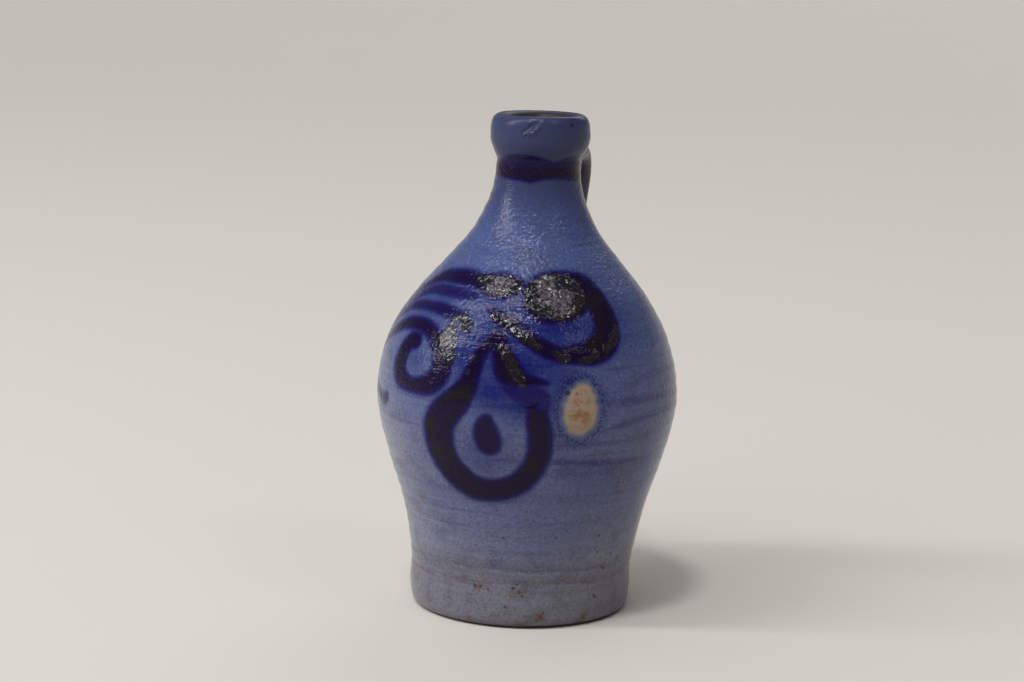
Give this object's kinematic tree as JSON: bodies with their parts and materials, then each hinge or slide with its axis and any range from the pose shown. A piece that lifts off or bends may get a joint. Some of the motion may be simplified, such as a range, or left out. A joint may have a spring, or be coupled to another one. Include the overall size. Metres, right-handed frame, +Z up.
{
  "type": "jug",
  "caption": "Small salt-glazed stoneware jug with a narrow neck, a rounded collar, a strap handle at the back and a brushed cobalt scroll on its front.",
  "frame": {"origin": "on the surface the jug stands on, under the middle of the belly", "axes": "+Z up the thrown axis towards the mouth; +Y towards the handle; the painted front faces -Y"},
  "size_m": [0.1278, 0.1278, 0.21],
  "materials": {
    "glazed_body": "salt glaze, satin to glossy, with an orange-peel surface",
    "glazed_handle": "salt glaze, satin, browner than the body",
    "glazed_luting": "salt glaze over wiped clay, satin"
  },
  "bodies": {
    "root": {"thrown_body": "glazed_body", "handle": "glazed_handle", "upper_joint_clay": "glazed_luting", "lower_joint_clay": "glazed_luting"}
  },
  "joints": []
}
